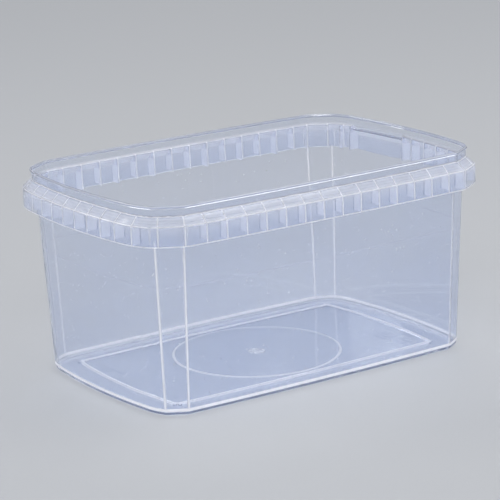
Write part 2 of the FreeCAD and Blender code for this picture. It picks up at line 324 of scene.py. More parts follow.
@dataclass(frozen=True)
class RimPaintedHighlights:
    """Painted highlights of the rim, along its edges, bends and rib roots.

    Attributes:
        lip: Painted highlight along the free edge of the skirt.
        shoulder: Painted highlight along the edge between ledge and skirt.
        notch: What the shoulder's painted highlight keeps of its share where a rib joins it.
        root: Share of the painted highlights along the rib roots, on the skirt.
        root_fade: Height over which they end above the shoulder.
        streak: Share of the painted highlights on the skirt's bends.
        streak_reach: Distance from a bend where its painted highlight ends.
        streak_foot: What a bend's painted highlight keeps at the skirt's foot.
        fin: Share of the painted highlights along the rib lines on the ledge.
        neck_foot: Painted highlight in the corner between ledge and neck.
        bead_foot: Painted highlight along the lower edge of the bead.
        bead_top: Painted highlight along the upper edge of the bead.
        rib_foot: Share of the painted highlights at the lower ends of the ribs.
        seat: Painted highlight along the step inside the neck.
        inner_root: Share of the painted highlights along the rib roots on the inner face of the
            wall.
    """

    # Every line below is a painted highlight, set as a share of white milky plastic.
    lip: Stroke = Stroke(0.92, 3e-4, 3e-4)
    shoulder: Stroke = Stroke(0.92, 3e-4, 3.5e-4)
    notch: float = 0.35
    root: float = 0.69
    root_fade: float = 0.001
    streak: float = 0.30
    streak_reach: float = 8e-4
    streak_foot: float = 0.5
    fin: float = 0.80
    neck_foot: Stroke = Stroke(0.85, 2e-4, 2e-4)
    bead_foot: Stroke = Stroke(0.45, 1e-4, 2e-4)
    bead_top: Stroke = Stroke(0.55, 1e-4, 2e-4)
    rib_foot: float = 0.7
    seat: Stroke = Stroke(0.45, 4e-4, 1e-4)
    inner_root: float = 0.5


@dataclass(frozen=True)
class WallPaintedHighlightsAndMarks:
    """Painted highlights, mould lines and wear of the wall.

    Attributes:
        crease: Share of the painted highlights along the bends of the wall.
        crease_reach: Distance from a bend where its painted highlight ends.
        other_corners: What the painted bend highlights keep where X and Y differ in sign.
        behind_skirt: What all lines keep behind the skirt.
        witness: Line where the mould's halves met.
        flow: Flow line of the plastic, low on the -X end.
        flow_begin: X where the flow line begins to show.
        flow_full: X where it shows fully.
        bow: How far the flow line wanders up and down.
        wave: Noise that it wanders with.
        heel: Share of the painted highlight along the edge that the tub stands on.
        specks: Dust.
        scratches: Short fine scratches.
        scratch_tilt: Angle that they are turned by, in degrees.
        scratch_stretch: How many times longer than wide they are.
        patches: Where there are scratches.
    """

    # crease and heel are painted highlights; witness, flow, specks and scratches are marks of the
    # plastic itself.
    crease: float = 0.62
    crease_reach: float = 4.5e-4
    other_corners: float = 0.7
    behind_skirt: float = 0.2
    witness: Stroke = Stroke(0.20, 1e-4, 3e-4)
    flow: Stroke = Stroke(0.22, 5e-5, 2.5e-4)
    flow_begin: float = -0.080
    flow_full: float = -0.084
    bow: float = 0.0015
    wave: Grain = Grain(18.0, 1.0, 0.2, 0.8)
    heel: float = 0.58
    specks: Dots = Dots(0.75, 420.0, 0.16, 0.80)
    scratches: Dots = Dots(0.16, 95.0, 0.14, 0.86)
    scratch_tilt: float = 32.0
    scratch_stretch: float = 14.0
    patches: Grain = Grain(22.0, 2.0, 0.48, 0.62)


@dataclass(frozen=True)
class FloorPaintedHighlightsAndGate:
    """Painted highlights and gate mark of the floor panel.

    Attributes:
        ring: Painted highlight along the ridge round the panel.
        ridge: Share of the painted highlight on every ridge's top, with its overrun at the
            corners.
        disc: Painted highlight along the edge of the disc.
        gate_least: Least share of the gate mark.
        gate_most: Largest share of the gate mark.
        gate_grain: Noise that the gate mark varies with.
    """

    # ring, ridge and disc are painted highlights; the gate mark is the plastic's own.
    ring: Stroke = Stroke(0.95, 5e-4, 3e-4)
    ridge: float = 0.85
    disc: Stroke = Stroke(0.80, 5e-4, 3e-4)
    gate_least: float = 0.30
    gate_most: float = 0.75
    gate_grain: Grain = Grain(700.0, 2.0, 0.35, 0.65)


@dataclass(frozen=True)
class PlasticFinish:
    """Finish of natural polypropylene.

    Attributes:
        haze: Colour that the milky plastic scatters.
        frost: Colour of thicker places, where it scatters more.
        white: Colour of the painted highlights at edges and roots, and of dust specks.
        stops: Shares that have the haze, frost and white colours.
        tint: Colour that one surface lets through.
        wall: Share that a wall surface scatters.
        wall_spread: How much that share varies, up and down.
        cloud: Noise that it varies with.
        base: Share for the floor panel.
        ledge: Share for the ledge.
        ledge_thin: What the ledge keeps in its thinnest streaks.
        ledge_thick: What it keeps in its thickest ones.
        ledge_grain: Noise of the streaks.
        skirt: Share for the skirt.
        skirt_foot: What the skirt keeps at its foot.
        rib: Share for the flanks of the ribs.
        rib_top: What the flanks keep above the shoulder.
        bead: Share for the bead.
        gloss: Roughness of the clear surface.
        milky_gloss: Roughness of the milky part.
        milky_through: What the milky part passes on to its other side.
        ior: Index of refraction.
        rim: Painted highlights of the rim.
        walls: Painted highlights, mould lines and wear of the wall.
        panel: Painted highlights and gate mark of the floor panel.
    """

    haze: Colour = (0.46, 0.57, 0.90)
    frost: Colour = (0.92, 0.93, 0.99)
    # white is reached by the painted highlights and by the dust specks
    white: Colour = (0.97, 0.96, 0.98)
    stops: tuple[float, float, float] = (0.10, 0.30, 0.70)
    tint: Colour = (0.945, 0.960, 0.985)
    wall: float = 0.075
    wall_spread: float = 0.2
    cloud: Grain = Grain(14.0, 4.0, 0.3, 0.7)
    base: float = 0.085
    ledge: float = 0.33
    ledge_thin: float = 0.7
    ledge_thick: float = 1.35
    ledge_grain: Grain = Grain(2600.0, 2.0, 0.3, 0.7)
    skirt: float = 0.27
    skirt_foot: float = 0.55
    rib: float = 0.42
    rib_top: float = 0.45
    bead: float = 0.18
    gloss: float = 0.03
    milky_gloss: float = 0.2
    milky_through: float = 0.5
    ior: float = 1.49
    rim: RimPaintedHighlights = RimPaintedHighlights()
    walls: WallPaintedHighlightsAndMarks = WallPaintedHighlightsAndMarks()
    panel: FloorPaintedHighlightsAndGate = FloorPaintedHighlightsAndGate()


class Nodes:
    """Small helper that adds and links shader nodes."""

    FINE_STRENGTH = 0.55

    def __init__(self, tree: bpy.types.NodeTree) -> None:
        """Start from an empty tree."""
        self.tree = tree
        tree.nodes.clear()

    def add(self, kind: str, **settings: object) -> bpy.types.Node:
        """Add one node.

        Args:
            kind: Node type name.
            **settings: Attributes to set on the node.

        Returns:
            The new node.
        """
        node = self.tree.nodes.new(kind)
        for name, value in settings.items():
            setattr(node, name, value)
        return node

    def plug(self, socket: Socket, value: object) -> None:
        """Link a socket, or set its value.

        Args:
            socket: Input socket.
            value: An output socket to link, or a plain value.
        """
        if isinstance(value, Socket):
            self.tree.links.new(value, socket)
        else:
            socket.default_value = value

    def math(self, operation: str, *values: object) -> Socket:
        """Add a Math node.

        Args:
            operation: Math operation.
            *values: Sockets or numbers for its inputs.

        Returns:
            The node's output.
        """
        node = self.add("ShaderNodeMath", operation=operation)
        for socket, value in zip(node.inputs, values):
            self.plug(socket, value)
        return node.outputs[0]

    def ramp(
        self, value: object, low: float, high: float, start: float = 0.0, stop: float = 1.0
    ) -> Socket:
        """Map a value smoothly between two limits.

        Args:
            value: Socket to map.
            low: Value that gives start.
            high: Value that gives stop.
            start: Result at low.
            stop: Result at high.

        Returns:
            The mapped value.
        """
        node = self.add("ShaderNodeMapRange", interpolation_type="SMOOTHSTEP")
        for name, item in (
            ("Value", value),
            ("From Min", low),
            ("From Max", high),
            ("To Min", start),
            ("To Max", stop),
        ):
            self.plug(node.inputs[name], item)
        return node.outputs[0]

    def band(self, value: object, centre: float, half: float, soft: float) -> Socket:
        """Mask of 1 within a band of values."""
        away = self.math("ABSOLUTE", self.math("SUBTRACT", value, centre))
        return self.ramp(away, half, half + soft, 1.0, 0.0)

    def between(self, value: object, low: float, high: float, soft: float) -> Socket:
        """Mask of 1 between two values."""
        return self.band(value, 0.5 * (low + high), 0.5 * (high - low), soft)

    def stroke(self, value: object, centre: float, line: Stroke) -> Socket:
        """One line: a painted highlight along an edge, or a mould or flow line."""
        return self.product(self.band(value, centre, line.half, line.soft), line.share)

    def product(self, *values: object) -> Socket:
        """Product of several masks."""
        return self._fold("MULTIPLY", values)

    def most(self, *values: object) -> Socket:
        """Largest of several masks."""
        return self._fold("MAXIMUM", values)

    def least(self, *values: object) -> Socket:
        """Smallest of several masks."""
        return self._fold("MINIMUM", values)

    def grain(
        self,
        vector: object,
        grain: Grain,
        start: float = 0.0,
        stop: float = 1.0,
        space: Space = Space.VOLUME,
    ) -> Socket:
        """Noise, spread between two results.

        Args:
            vector: Coordinates, or one number for a noise along it.
            grain: The noise.
            start: Result at its low value.
            stop: Result at its high value.
            space: Space that it is made in.

        Returns:
            The mapped noise.
        """
        node = self.add("ShaderNodeTexNoise", noise_dimensions=space.value)
        self.plug(node.inputs["W" if space is Space.LINE else "Vector"], vector)
        node.inputs["Scale"].default_value = grain.scale
        node.inputs["Detail"].default_value = grain.detail
        node.inputs["Roughness"].default_value = self.FINE_STRENGTH
        return self.ramp(node.outputs[0], grain.low, grain.high, start, stop)

    def dots(self, vector: object, dots: Dots) -> Socket:
        """Scattered dots.

        Args:
            vector: Coordinates.
            dots: How they are scattered.

        Returns:
            The mask.
        """
        node = self.add("ShaderNodeTexVoronoi", feature="F1")
        self.plug(node.inputs["Vector"], vector)
        node.inputs["Scale"].default_value = dots.scale
        tone = self.add("ShaderNodeSeparateColor")
        self.plug(tone.inputs[0], node.outputs["Color"])
        dot = self.ramp(node.outputs["Distance"], 0.5 * dots.reach, dots.reach, 1.0, 0.0)
        return self.product(dot, self.math("GREATER_THAN", tone.outputs[0], dots.rare))

    def _fold(self, operation: str, values: tuple[object, ...]) -> Socket:
        """Combine values with one operation after another.

        Args:
            operation: Math operation.
            values: Sockets or numbers.

        Returns:
            The result.
        """
        result = values[0]
        for value in values[1:]:
            result = self.math(operation, result, value)
        return result


class ProfileCoordinates:
    """Where a point lies in the moulding's section.

    Attributes:
        position: The point.
        height: Its height above the floor.
        offset: Its distance outwards from the bead's outer face, in plan.
        sharp_offset: The same for an outline without corner facets.
        bend_long: Its distance from the bend at the long side.
        bend_end: Its distance from the bend at the end.
        radius: Its distance from the tub's axis.
    """

    FACET_TOUCHES = (0.1, 0.5, 0.9)
    HAUNCH_TOUCHES = (0.12, 0.38, 0.64, 0.9)

    def __init__(self, nodes: Nodes, sizes: TubSizes) -> None:
        """Build the coordinate nodes.

        Args:
            nodes: The material's nodes.
            sizes: Sizes of the tub.
        """
        self.nodes = nodes
        self.sizes = sizes
        self.position = nodes.add("ShaderNodeTexCoord").outputs["Object"]
        split = nodes.add("ShaderNodeSeparateXYZ")
        nodes.plug(split.inputs[0], self.position)
        self.x, self.y, self.height = split.outputs
        flat = nodes.add("ShaderNodeCombineXYZ")
        self.along = nodes.math("ABSOLUTE", self.x)
        self.across = nodes.math("ABSOLUTE", self.y)
        nodes.plug(flat.inputs[0], self.along)
        nodes.plug(flat.inputs[1], self.across)
        self.flat = flat.outputs[0]
        long_arc, facet_arc, haunch_arc, end_arc = sizes.plan()
        long_side = self._arc(long_arc)
        facet = self._polygon(facet_arc, self.FACET_TOUCHES)
        haunch = self._polygon(haunch_arc, self.HAUNCH_TOUCHES)
        end = nodes.most(haunch, self._arc(end_arc))
        self.offset = nodes.most(long_side, facet, end)
        self.sharp_offset = nodes.most(long_side, end)
        self.bend_long = nodes.math("ABSOLUTE", nodes.math("SUBTRACT", long_side, facet))
        self.bend_end = nodes.math("ABSOLUTE", nodes.math("SUBTRACT", end, facet))
        self.radius = self._vector("LENGTH", (0.0, 0.0, 0.0))

    def rib_distance(self) -> Socket:
        """Distance along the outline to the middle of the nearest rib.

        Returns:
            The distance; large in the tear-tab bay.
        """
        nodes, sizes = self.nodes, self.sizes
        long_arc, facet_arc, haunch_arc, end_arc = sizes.plan()
        shrink = nodes.math(
            "DIVIDE", end_arc.radius, nodes.math("ADD", self.offset, end_arc.radius)
        )
        squeezed = nodes.product(self.across, shrink)
        nearest = nodes.least(
            self._spaced(self.along, sizes.long_ribs),
            self._spaced(squeezed, sizes.end_ribs),
            self._station(long_arc.bend(facet_arc, sizes.bend_radius, sizes.bend_rib)),
            self._station(facet_arc.spot(sizes.facet_rib)),
            self._station(haunch_arc.spot_at((sizes.end_ribs + 0.5) * sizes.rib_pitch)),
        )
        bay = nodes.product(
            nodes.ramp(self.x, sizes.bay_start, sizes.bay_start + EDGE),
            nodes.between(self.y, sizes.bay_near, sizes.bay_far, EDGE),
        )
        return nodes.math("ADD", nearest, bay)

    def _spaced(self, value: Socket, count: int) -> Socket:
        """Distance to the nearest of evenly spaced ribs.

        Args:
            value: Place along the side.
            count: How many ribs there are from the middle on.

        Returns:
            The distance.
        """
        nodes, pitch = self.nodes, self.sizes.rib_pitch
        near = nodes.least(value, (count - 0.5) * pitch)
        steps = nodes.math("SUBTRACT", nodes.math("DIVIDE", near, pitch), 0.5)
        place = nodes.product(nodes.math("ADD", nodes.math("ROUND", steps), 0.5), pitch)
        return nodes.math("ABSOLUTE", nodes.math("SUBTRACT", value, place))

    def _station(self, spot: Spot) -> Socket:
        """Distance from one rib's plane.

        Args:
            spot: Its plan point and outward normal.

        Returns:
            The distance.
        """
        x, y, nx, ny = spot
        side = self._line(PlanLine(-ny, nx, -ny * x + nx * y))
        return self.nodes.math("ABSOLUTE", side)

    def _arc(self, arc: PlanArc) -> Socket:
        """Distance outwards from an arc."""
        away = self._vector("DISTANCE", (arc.x, arc.y, 0.0))
        return self.nodes.math("SUBTRACT", away, arc.radius)

    def _polygon(self, arc: PlanArc, touches: tuple[float, ...]) -> Socket:
        """Distance outwards from an arc, taken as a few of its tangents."""
        return self.nodes.most(*(self._line(arc.tangent(share)) for share in touches))

    def _line(self, line: PlanLine) -> Socket:
        """Distance outwards from a line."""
        along = self._vector("DOT_PRODUCT", (line.x, line.y, 0.0))
        return self.nodes.math("SUBTRACT", along, line.reach)

    def _vector(self, operation: str, other: Point) -> Socket:
        """Compare the plan point, mirrored into one quadrant, with a vector.

        Args:
            operation: Vector math operation.
            other: The vector.

        Returns:
            The result.
        """
        node = self.nodes.add("ShaderNodeVectorMath", operation=operation)
        self.nodes.plug(node.inputs[0], self.flat)
        node.inputs[1].default_value = other
        return node.outputs["Value"]


class TubMasks:
    """Masks that say how milky the plastic is, place by place, with painted highlights along its
    edges, bends and ridges.
    """

    UP = (0.2, 0.4)  # vertical part of the normal where a face begins to count, and fully counts
    DOWN = (-0.95, -0.90)

    def __init__(self, nodes: Nodes, sizes: TubSizes, finish: PlasticFinish) -> None:
        """Work out the coordinates that the masks share.

        Args:
            nodes: The material's nodes.
            sizes: Sizes of the tub.
            finish: Its finish.
        """
        self.nodes = nodes
        self.sizes = sizes
        self.finish = finish
        self.where = ProfileCoordinates(nodes, sizes)
        self.away = self.where.rib_distance()
        self.half = 0.5 * sizes.rib_thickness
        face = nodes.add("ShaderNodeNewGeometry")
        self.outer = nodes.math("SUBTRACT", 1.0, face.outputs["Backfacing"])
        normal = nodes.add("ShaderNodeSeparateXYZ")
        nodes.plug(normal.inputs[0], face.outputs["True Normal"])
        self.rise = normal.outputs[2]

    def share(self) -> Socket:
        """Combine all masks.

        Returns:
            Share that is milky: real haze and wear, and painted highlights.
        """
        return self.nodes.most(
            self._body(),
            self._skirt_painted_highlights(),
            self._ledge_painted_highlights(),
            self._neck_painted_highlights(),
            self._inner_painted_highlights(),
            self._wall_painted_highlights_and_marks(),
            self._floor_painted_highlights_and_gate(),
        )

    def _body(self) -> Socket:
        """Haze of the plain surfaces, by region.

        Returns:
            Share that scatters.
        """
        nodes, where, sizes, finish = self.nodes, self.where, self.sizes, self.finish
        wall = nodes.grain(
            where.position,
            finish.cloud,
            (1.0 - finish.wall_spread) * finish.wall,
            (1.0 + finish.wall_spread) * finish.wall,
        )
        low = nodes.ramp(
            where.height, sizes.panel_reach, sizes.panel_reach + 4 * EDGE, finish.base, 0.0
        )
        rim = nodes.product(
            nodes.ramp(where.height, sizes.skirt_foot - 6 * EDGE, sizes.skirt_foot),
            nodes.ramp(where.height, sizes.ledge_top, sizes.ledge_top + 3 * EDGE, 1.0, 0.0),
        )
        skirt_begin, skirt_full = sizes.skirt_in - 1.5 * EDGE, sizes.skirt_in - 0.5 * EDGE
        skirt = nodes.product(
            nodes.ramp(where.offset, skirt_begin, skirt_full),
            nodes.ramp(
                where.height,
                sizes.skirt_foot + sizes.foot_fade,
                sizes.shoulder,
                finish.skirt_foot * finish.skirt,
                finish.skirt,
            ),
        )
        ledge = nodes.product(
            nodes.ramp(where.offset, sizes.neck_offset - EDGE, sizes.neck_offset + EDGE),
            nodes.ramp(
                where.height, sizes.shoulder - EDGE, sizes.shoulder + EDGE, 0.0, finish.ledge
            ),
            nodes.grain(
                where.offset,
                finish.ledge_grain,
                finish.ledge_thin,
                finish.ledge_thick,
                Space.LINE,
            ),
        )
        rib = nodes.product(
            self._off_wall(),
            nodes.ramp(where.offset, skirt_begin, skirt_full, finish.rib, 0.0),
            nodes.ramp(
                where.height,
                sizes.shoulder - sizes.foot_fade,
                sizes.shoulder + sizes.foot_fade,
                1.0,
                finish.rib_top,
            ),
        )
        bead = nodes.ramp(
            where.height, sizes.bead_foot, sizes.bead_foot + 4 * EDGE, 0.0, finish.bead
        )
        return nodes.most(wall, low, bead, nodes.product(rim, nodes.most(skirt, ledge, rib)))

    def _off_wall(self) -> Socket:
        """Mask of 1 outside the wall's outer face."""
        face = self.sizes.wall_out_top + EDGE
        return self.nodes.ramp(self.where.offset, face, face + EDGE)

    def _skirt_painted_highlights(self) -> Socket:
        """Painted highlights on the skirt's outer face: along the lip, the shoulder, the rib roots
        and the bends.

        Returns:
            Share of painted highlight.
        """
        nodes, where, sizes, lines = self.nodes, self.where, self.sizes, self.finish.rim
        on_skirt = nodes.product(
            self.outer,
            nodes.ramp(where.offset, sizes.skirt_in + 2 * EDGE, sizes.skirt_in + 4 * EDGE),
        )
        # painted highlights along the lip, the shoulder (weaker where a rib crosses it) and the
        # rib roots
        lip = nodes.stroke(where.height, sizes.skirt_foot + EDGE, lines.lip)
        shoulder = nodes.product(
            nodes.ramp(self.away, self.half - EDGE, self.half + EDGE, lines.notch, 1.0),
            nodes.stroke(where.height, sizes.shoulder, lines.shoulder),
        )
        root = nodes.product(
            nodes.ramp(
                where.height, sizes.shoulder, sizes.shoulder + lines.root_fade, lines.root, 0.0
            ),
            nodes.ramp(self.away, self.half - 1.5 * EDGE, self.half + EDGE, 1.0, 0.0),
        )
        # painted highlight on each bend of the skirt
        bend = nodes.least(where.bend_long, where.bend_end)
        streak = nodes.product(
            nodes.ramp(bend, EDGE, lines.streak_reach, lines.streak, 0.0),
            nodes.ramp(
                where.height,
                sizes.skirt_foot + sizes.foot_fade,
                sizes.shoulder - sizes.foot_fade,
                lines.streak_foot,
                1.0,
            ),
        )
        return nodes.product(on_skirt, nodes.most(lip, shoulder, root, streak))

    def _ledge_painted_highlights(self) -> Socket:
        """Painted highlights along the ribs where they meet the ledge from below.

        Returns:
            Share of painted highlight.
        """
        nodes, where, sizes, lines = self.nodes, self.where, self.sizes, self.finish.rim
        # painted highlights where the ribs meet the ledge
        return nodes.product(
            self.outer,
            nodes.ramp(self.rise, *self.UP),
            nodes.between(where.height, sizes.shoulder, sizes.ledge_top, 2 * EDGE),
            nodes.ramp(self.away, self.half - EDGE, self.half + 1.5 * EDGE, lines.fin, 0.0),
        )

    def _neck_painted_highlights(self) -> Socket:
        """Painted highlights along the neck's foot and the bead's edges.

        Returns:
            Share of painted highlight.
        """
        nodes, where, sizes, lines = self.nodes, self.where, self.sizes, self.finish.rim
        return nodes.product(
            nodes.ramp(where.offset, sizes.neck_offset - 0.5 * EDGE, sizes.neck_offset),
            self.outer,
            # painted highlights along the neck's foot and the bead's lower and upper edges
            nodes.most(
                nodes.stroke(where.height, sizes.ledge_top + EDGE, lines.neck_foot),
                nodes.stroke(where.height, sizes.bead_foot + 2 * EDGE, lines.bead_foot),
                nodes.stroke(where.height, sizes.height - 2 * EDGE, lines.bead_top),
            ),
        )

    def _inner_painted_highlights(self) -> Socket:
        """Painted highlights behind the skirt: at the rib feet, the seat of the neck and the inner
        rib roots.

        Returns:
            Share of painted highlight.
        """
        nodes, where, sizes, lines = self.nodes, self.where, self.sizes, self.finish.rim
        # painted highlights at the rib feet, the seat of the neck and the inner rib roots
        foot = nodes.product(
            self._off_wall(),
            nodes.ramp(where.offset, sizes.skirt_in, sizes.skirt_in + EDGE, 1.0, 0.0),
            nodes.ramp(self.rise, *self.DOWN, lines.rib_foot, 0.0),
        )
        seat = nodes.product(
            nodes.between(
                where.offset,
                sizes.wall_in_top + 0.5 * EDGE,
                sizes.neck_in - 0.5 * EDGE,
                0.4 * EDGE,
            ),
            nodes.stroke(where.height, sizes.ledge_top + 1.5 * EDGE, lines.seat),
        )
        inner = sizes.wall_in_top + EDGE
        inner_root = nodes.product(
            nodes.ramp(where.offset, inner, inner + EDGE, 1.0, 0.0),
            nodes.between(
                where.height, sizes.skirt_foot + sizes.foot_fade, sizes.ledge_top, 2 * EDGE
            ),
            nodes.ramp(self.away, self.half - 2 * EDGE, self.half + EDGE, lines.inner_root, 0.0),
        )
        return nodes.most(foot, seat, inner_root)

    def _wall_painted_highlights_and_marks(self) -> Socket:
        """Marks of the wall: painted highlights along its bends and heel, its witness and flow
        lines, dust and scratches.

        Returns:
            Share that is milky, painted highlights included.
        """
        nodes, where, sizes, lines = self.nodes, self.where, self.sizes, self.finish.walls
        face = sizes.wall_out_top + EDGE
        on_wall = nodes.product(
            nodes.ramp(where.offset, face, face + EDGE, 1.0, 0.0),
            nodes.ramp(
                where.height,
                sizes.skirt_foot,
                sizes.skirt_foot + sizes.wall_fade,
                1.0,
                lines.behind_skirt,
            ),
            nodes.ramp(where.height, sizes.crease_begin, sizes.crease_full),
        )
        # painted highlights along the wall's bends, weaker on the two corners where X and Y differ
        # in sign
        crease_highlights = nodes.product(
            nodes.ramp(nodes.product(where.x, where.y), -EDGE, EDGE, lines.other_corners, 1.0),
            nodes.most(
                *(
                    nodes.ramp(bend, 0.5 * EDGE, lines.crease_reach, lines.crease, 0.0)
                    for bend in (where.bend_long, where.bend_end)
                )
            ),
        )
        witness = nodes.stroke(where.height, sizes.witness, lines.witness)
        wander = nodes.grain(where.position, lines.wave, -lines.bow, lines.bow)
        flow = nodes.product(
            nodes.stroke(nodes.math("ADD", where.height, wander), sizes.flow_line, lines.flow),
            nodes.ramp(where.x, lines.flow_begin, lines.flow_full),
        )
        # painted highlight along the heel that the tub stands on
        heel = nodes.product(
            self.outer,
            nodes.ramp(where.height, sizes.heel_full, sizes.heel_end, lines.heel, 0.0),
            nodes.ramp(where.offset, sizes.heel_offset - 2 * EDGE, sizes.heel_offset),
        )
        wear = self._wear()
        return nodes.most(heel, nodes.product(on_wall, nodes.most(crease_highlights, witness, flow, wear)))

    def _wear(self) -> Socket:
        """Specks of dust and fine scratches.

        Returns:
            Share that scatters.
        """
        nodes, where, lines = self.nodes, self.where, self.finish.walls
        turned = nodes.add("ShaderNodeMapping")
        nodes.plug(turned.inputs["Vector"], where.position)
        turned.inputs["Rotation"].default_value = (0.0, math.radians(lines.scratch_tilt), 0.0)
        turned.inputs["Scale"].default_value = (lines.scratch_stretch, 1.0, 1.0)
        specks = nodes.product(nodes.dots(where.position, lines.specks), lines.specks.share)
        scratches = nodes.product(
            nodes.dots(turned.outputs[0], lines.scratches),
            nodes.grain(where.position, lines.patches),
            lines.scratches.share,
        )
        return nodes.most(specks, scratches)

    def _floor_painted_highlights_and_gate(self) -> Socket:
        """Marks of the floor panel: painted highlights along the ridges and the disc's edge, and
        the gate mark.

        Returns:
            Share that is milky, painted highlights included.
        """
        nodes, where, sizes, lines = self.nodes, self.where, self.sizes, self.finish.panel
        on_panel = nodes.between(where.height, sizes.panel_low, sizes.panel_reach, 2 * EDGE)
        # painted highlights along the ridge round the panel and along the disc's edge
        ring = nodes.stroke(where.sharp_offset, sizes.panel_line, lines.ring)
        disc = nodes.stroke(where.radius, sizes.disc_radius, lines.disc)
        gate_edge = 3 * EDGE
        gate = nodes.product(
            nodes.ramp(where.radius, sizes.gate_radius - gate_edge, sizes.gate_radius, 1.0, 0.0),
            nodes.grain(where.position, lines.gate_grain, lines.gate_least, lines.gate_most),
        )
        # painted highlight on every ridge's top
        ridge = nodes.product(
            nodes.ramp(
                where.height,
                sizes.ridge_top - EDGE,
                sizes.ridge_top - 0.5 * EDGE,
                0.0,
                lines.ridge,
            ),
            nodes.ramp(where.radius, sizes.gate_radius, sizes.gate_radius + gate_edge),
        )
        return nodes.product(on_panel, nodes.most(ring, disc, gate, ridge))


class TubPlastic:
    """Material of the tub."""

    def __init__(self, sizes: TubSizes, finish: PlasticFinish) -> None:
        """Keep the sizes and the finish."""
        self.sizes = sizes
        self.finish = finish

    def build(self) -> bpy.types.Material:
        """Make the material.

        Returns:
            The new material.
        """
        material = bpy.data.materials.new("clear_polypropylene")
        material.use_nodes = True
        nodes = Nodes(material.node_tree)
        # share holds real haze and wear, and painted highlights along edges, bends and ridges
        share = TubMasks(nodes, self.sizes, self.finish).share()
        surface = nodes.add("ShaderNodeMixShader")
        nodes.plug(surface.inputs[0], share)
        nodes.plug(surface.inputs[1], self._glass(nodes))
        nodes.plug(surface.inputs[2], self._milk(nodes, share))
        out = nodes.add("ShaderNodeOutputMaterial")
        nodes.plug(out.inputs["Surface"], surface.outputs[0])
        return material

    def _glass(self, nodes: Nodes) -> Socket:
        """Clear part of the plastic as a solid that bends light.

        Args:
            nodes: The material's nodes.

        Returns:
            The shader.
        """
        solid = nodes.add("ShaderNodeBsdfPrincipled")
        solid.inputs["Base Color"].default_value = (*self.finish.tint, 1.0)
        solid.inputs["Roughness"].default_value = self.finish.gloss
        solid.inputs["IOR"].default_value = self.finish.ior
        solid.inputs["Transmission Weight"].default_value = 1.0
        clear = nodes.add("ShaderNodeBsdfTransparent")
        clear.inputs["Color"].default_value = (*self.finish.tint, 1.0)
        lamp = nodes.add("ShaderNodeLightPath").outputs["Is Shadow Ray"]
        glass = nodes.add("ShaderNodeMixShader")
        nodes.plug(glass.inputs[0], lamp)
        nodes.plug(glass.inputs[1], solid.outputs[0])
        nodes.plug(glass.inputs[2], clear.outputs[0])
        return glass.outputs[0]

    def _milk(self, nodes: Nodes, share: Socket) -> Socket:
        """Milky part of the plastic, whiter where the share is higher; the whitest places are
        painted highlights and dust.

        Args:
            nodes: The material's nodes.
            share: Share that is milky, painted highlights included.

        Returns:
            The shader.
        """
        finish = self.finish
        colour = nodes.add("ShaderNodeValToRGB")
        nodes.plug(colour.inputs["Fac"], share)
        stops = colour.color_ramp.elements
        haze_at, frost_at, white_at = finish.stops
        stops[0].position, stops[0].color = haze_at, (*finish.haze, 1.0)
        stops[1].position, stops[1].color = white_at, (*finish.white, 1.0)
        stops.new(frost_at).color = (*finish.frost, 1.0)
        front = nodes.add("ShaderNodeBsdfPrincipled")
        nodes.plug(front.inputs["Base Color"], colour.outputs["Color"])
        front.inputs["Roughness"].default_value = finish.milky_gloss
        front.inputs["IOR"].default_value = finish.ior
        through = nodes.add("ShaderNodeBsdfTranslucent")
        nodes.plug(through.inputs["Color"], colour.outputs["Color"])
        milky = nodes.add("ShaderNodeMixShader")
        milky.inputs[0].default_value = finish.milky_through
        nodes.plug(milky.inputs[1], front.outputs[0])
        nodes.plug(milky.inputs[2], through.outputs[0])
        return milky.outputs[0]


@dataclass(frozen=True)
class View:
    """Where the camera stands.

    Attributes:
        azimuth: Degrees round the tub, 0 in front of its long side.
        elevation: Degrees above the floor.
        roll: Degrees that the camera is turned about its axis.
        distance: Metres from the target.
        target: Point that it looks at.
        lens: Focal length, in millimetres.
        sensor: Width of the sensor, in millimetres.
        nearest: Distance from which things show, in metres.
    """

    azimuth: float = -33.71
    elevation: float = 14.74
    roll: float = -2.27
    distance: float = 1.1669
    target: Point = (-0.0005, 0.0017, 0.0542)
    lens: float = 168.2
    sensor: float = 36.0
    nearest: float = 0.01


class Camera:
    """The camera, a little above the tub and off its near corner."""

    def __init__(self, view: View) -> None:
        """Keep the view."""
        self.view = view

    def build(self) -> bpy.types.Object:
        """Add the camera and make it the scene's.

        Returns:
            The camera object.
        """
        azimuth, elevation, roll = (
            math.radians(v)
            for v in (self.view.azimuth, self.view.elevation, self.view.roll)
        )
        back = Vector(
            (
                math.sin(azimuth) * math.cos(elevation),
                -math.cos(azimuth) * math.cos(elevation),
                math.sin(elevation),
            )
        )
        right = Vector((0.0, 0.0, 1.0)).cross(back).normalized()
        up = back.cross(right)
        turned = right * math.cos(roll) + up * math.sin(roll)
        upright = up * math.cos(roll) - right * math.sin(roll)
        data = bpy.data.cameras.new("camera")
        data.lens = self.view.lens
        data.sensor_width = self.view.sensor
        data.clip_start = self.view.nearest
        camera = bpy.data.objects.new("camera", data)
        bpy.context.scene.collection.objects.link(camera)
        place = Vector(self.view.target) + back * self.view.distance
        turn = Matrix((turned, upright, back)).transposed().to_4x4()
        camera.matrix_world = Matrix.Translation(place) @ turn
        bpy.context.scene.camera = camera
        return camera


@dataclass(frozen=True)
class Softbox:
    """One soft lamp.

    Attributes:
        name: Lamp name.
        place: Where it hangs.
        aim: Point that it faces.
        width: Width in metres.
        height: Height in metres.
        watts: Power.
        colour: Lamp colour.
    """

    name: str
    place: Point
    aim: Point
    width: float
    height: float
    watts: float
    colour: Colour = (1.0, 1.0, 1.0)


